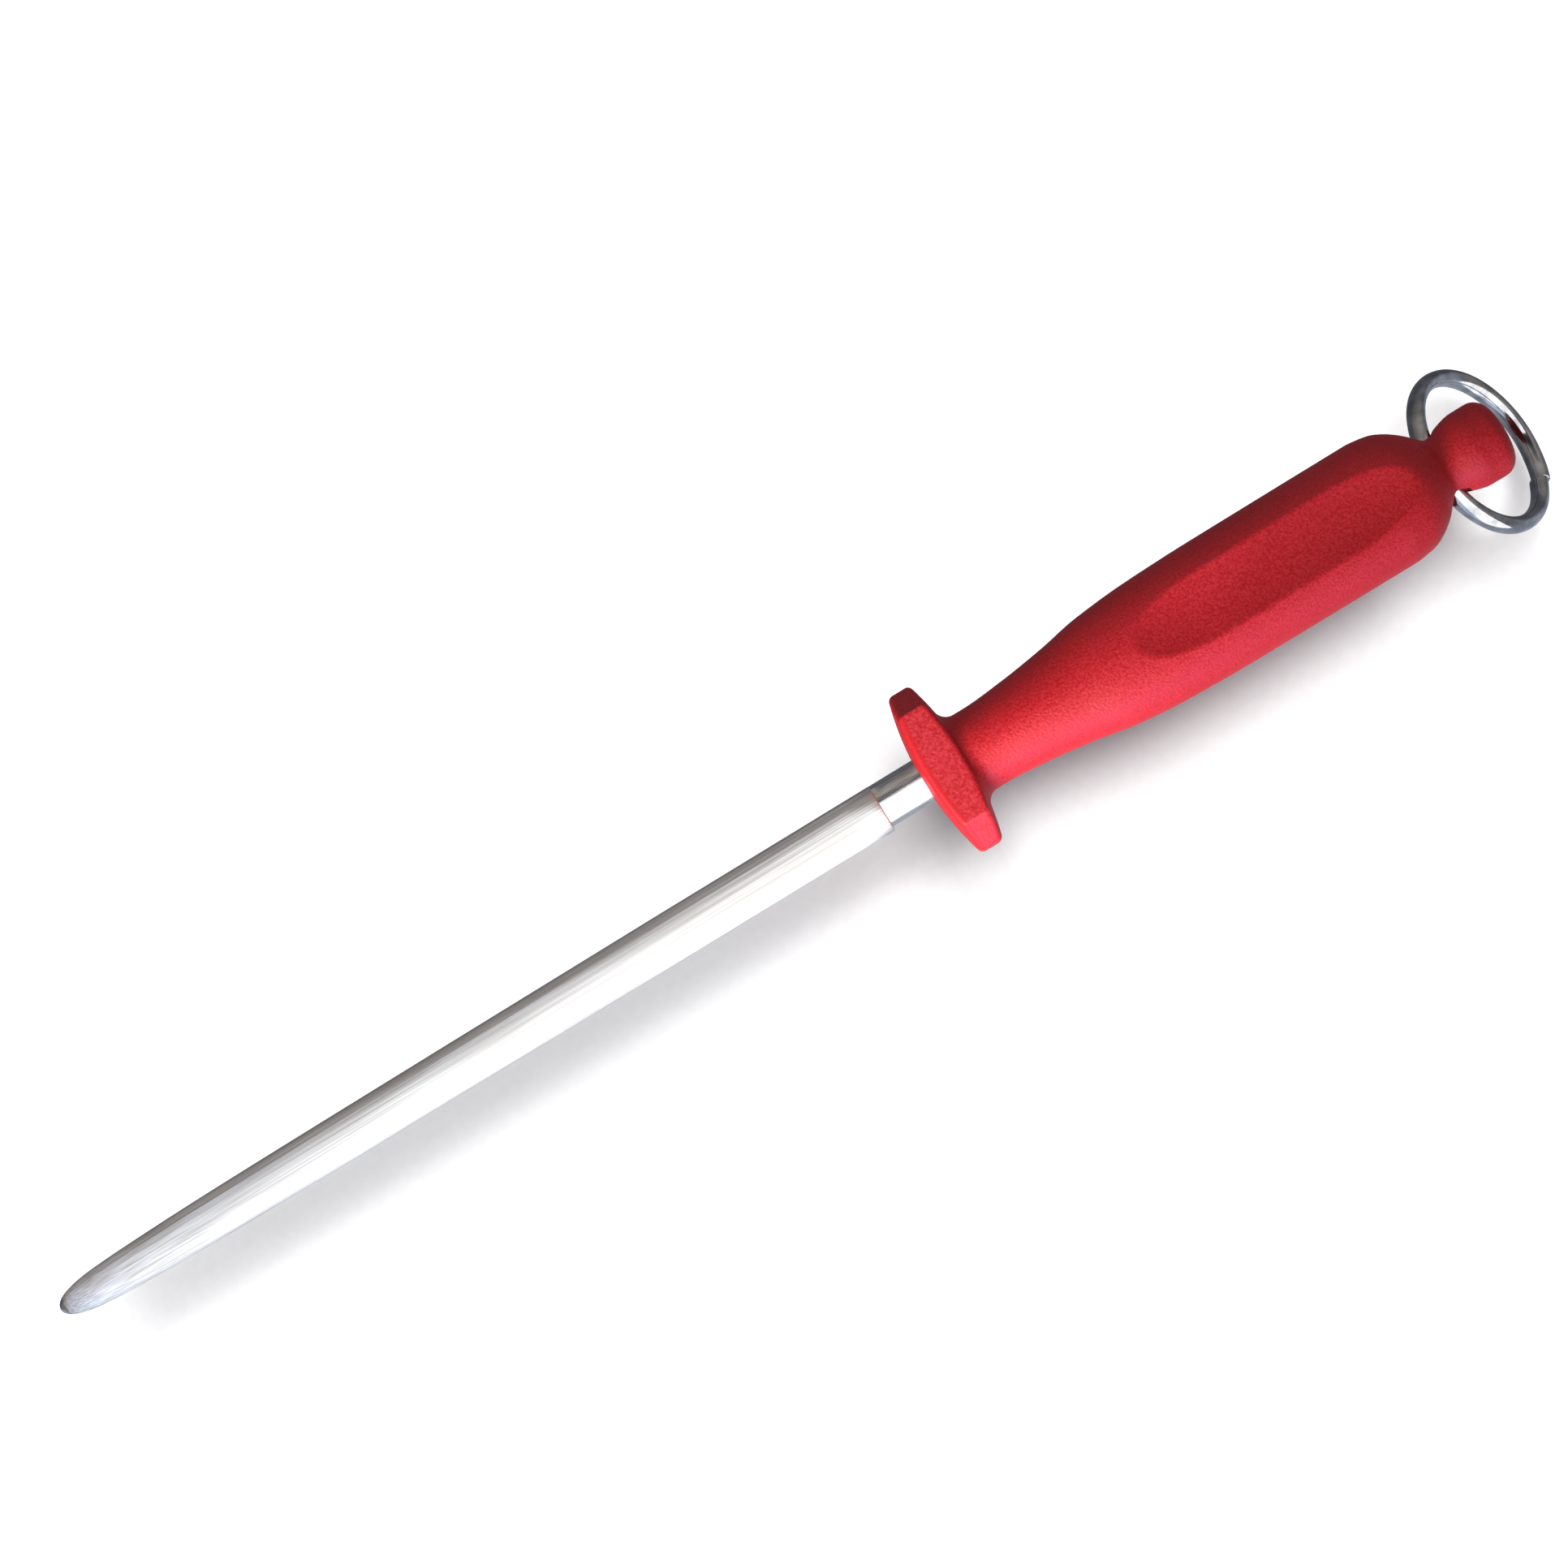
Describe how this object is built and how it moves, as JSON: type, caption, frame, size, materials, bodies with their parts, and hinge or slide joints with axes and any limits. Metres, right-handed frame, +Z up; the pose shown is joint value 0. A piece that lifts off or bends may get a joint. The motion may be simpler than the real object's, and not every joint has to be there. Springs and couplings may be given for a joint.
{
  "type": "knife sharpening steel",
  "caption": "Round cut steel rod with a rounded tip, in a moulded handle with an elongated octagonal guard, thumb scoops and an end knob that carries a swinging hang ring.",
  "frame": {"origin": "on the rod's axis, at the shoulder where the full-diameter cut length ends, in front of the guard", "axes": "+X along the rod's axis from the tip towards the handle and its ring, +Y along the guard's long side, +Z up, square to the guard's long facets"},
  "size_m": [0.438, 0.0478, 0.0459],
  "materials": {
    "rod_steel": "fine lengthwise cuts, bright hard chrome, smooth neck and polished tip",
    "handle_plastic": "moulded, fine spark-eroded grain",
    "ring_steel": "polished stainless wire"
  },
  "bodies": {
    "steel": {"rod": "rod_steel", "handle": "handle_plastic"},
    "ring": {"hang_ring": "ring_steel"}
  },
  "joints": [
    {"name": "ring_swing", "type": "hinge", "parent": "steel", "child": "ring", "pos_m": [0.1635, 0, 0], "axis": [0, 1, 0], "range_deg": [-150, 60]}
  ]
}
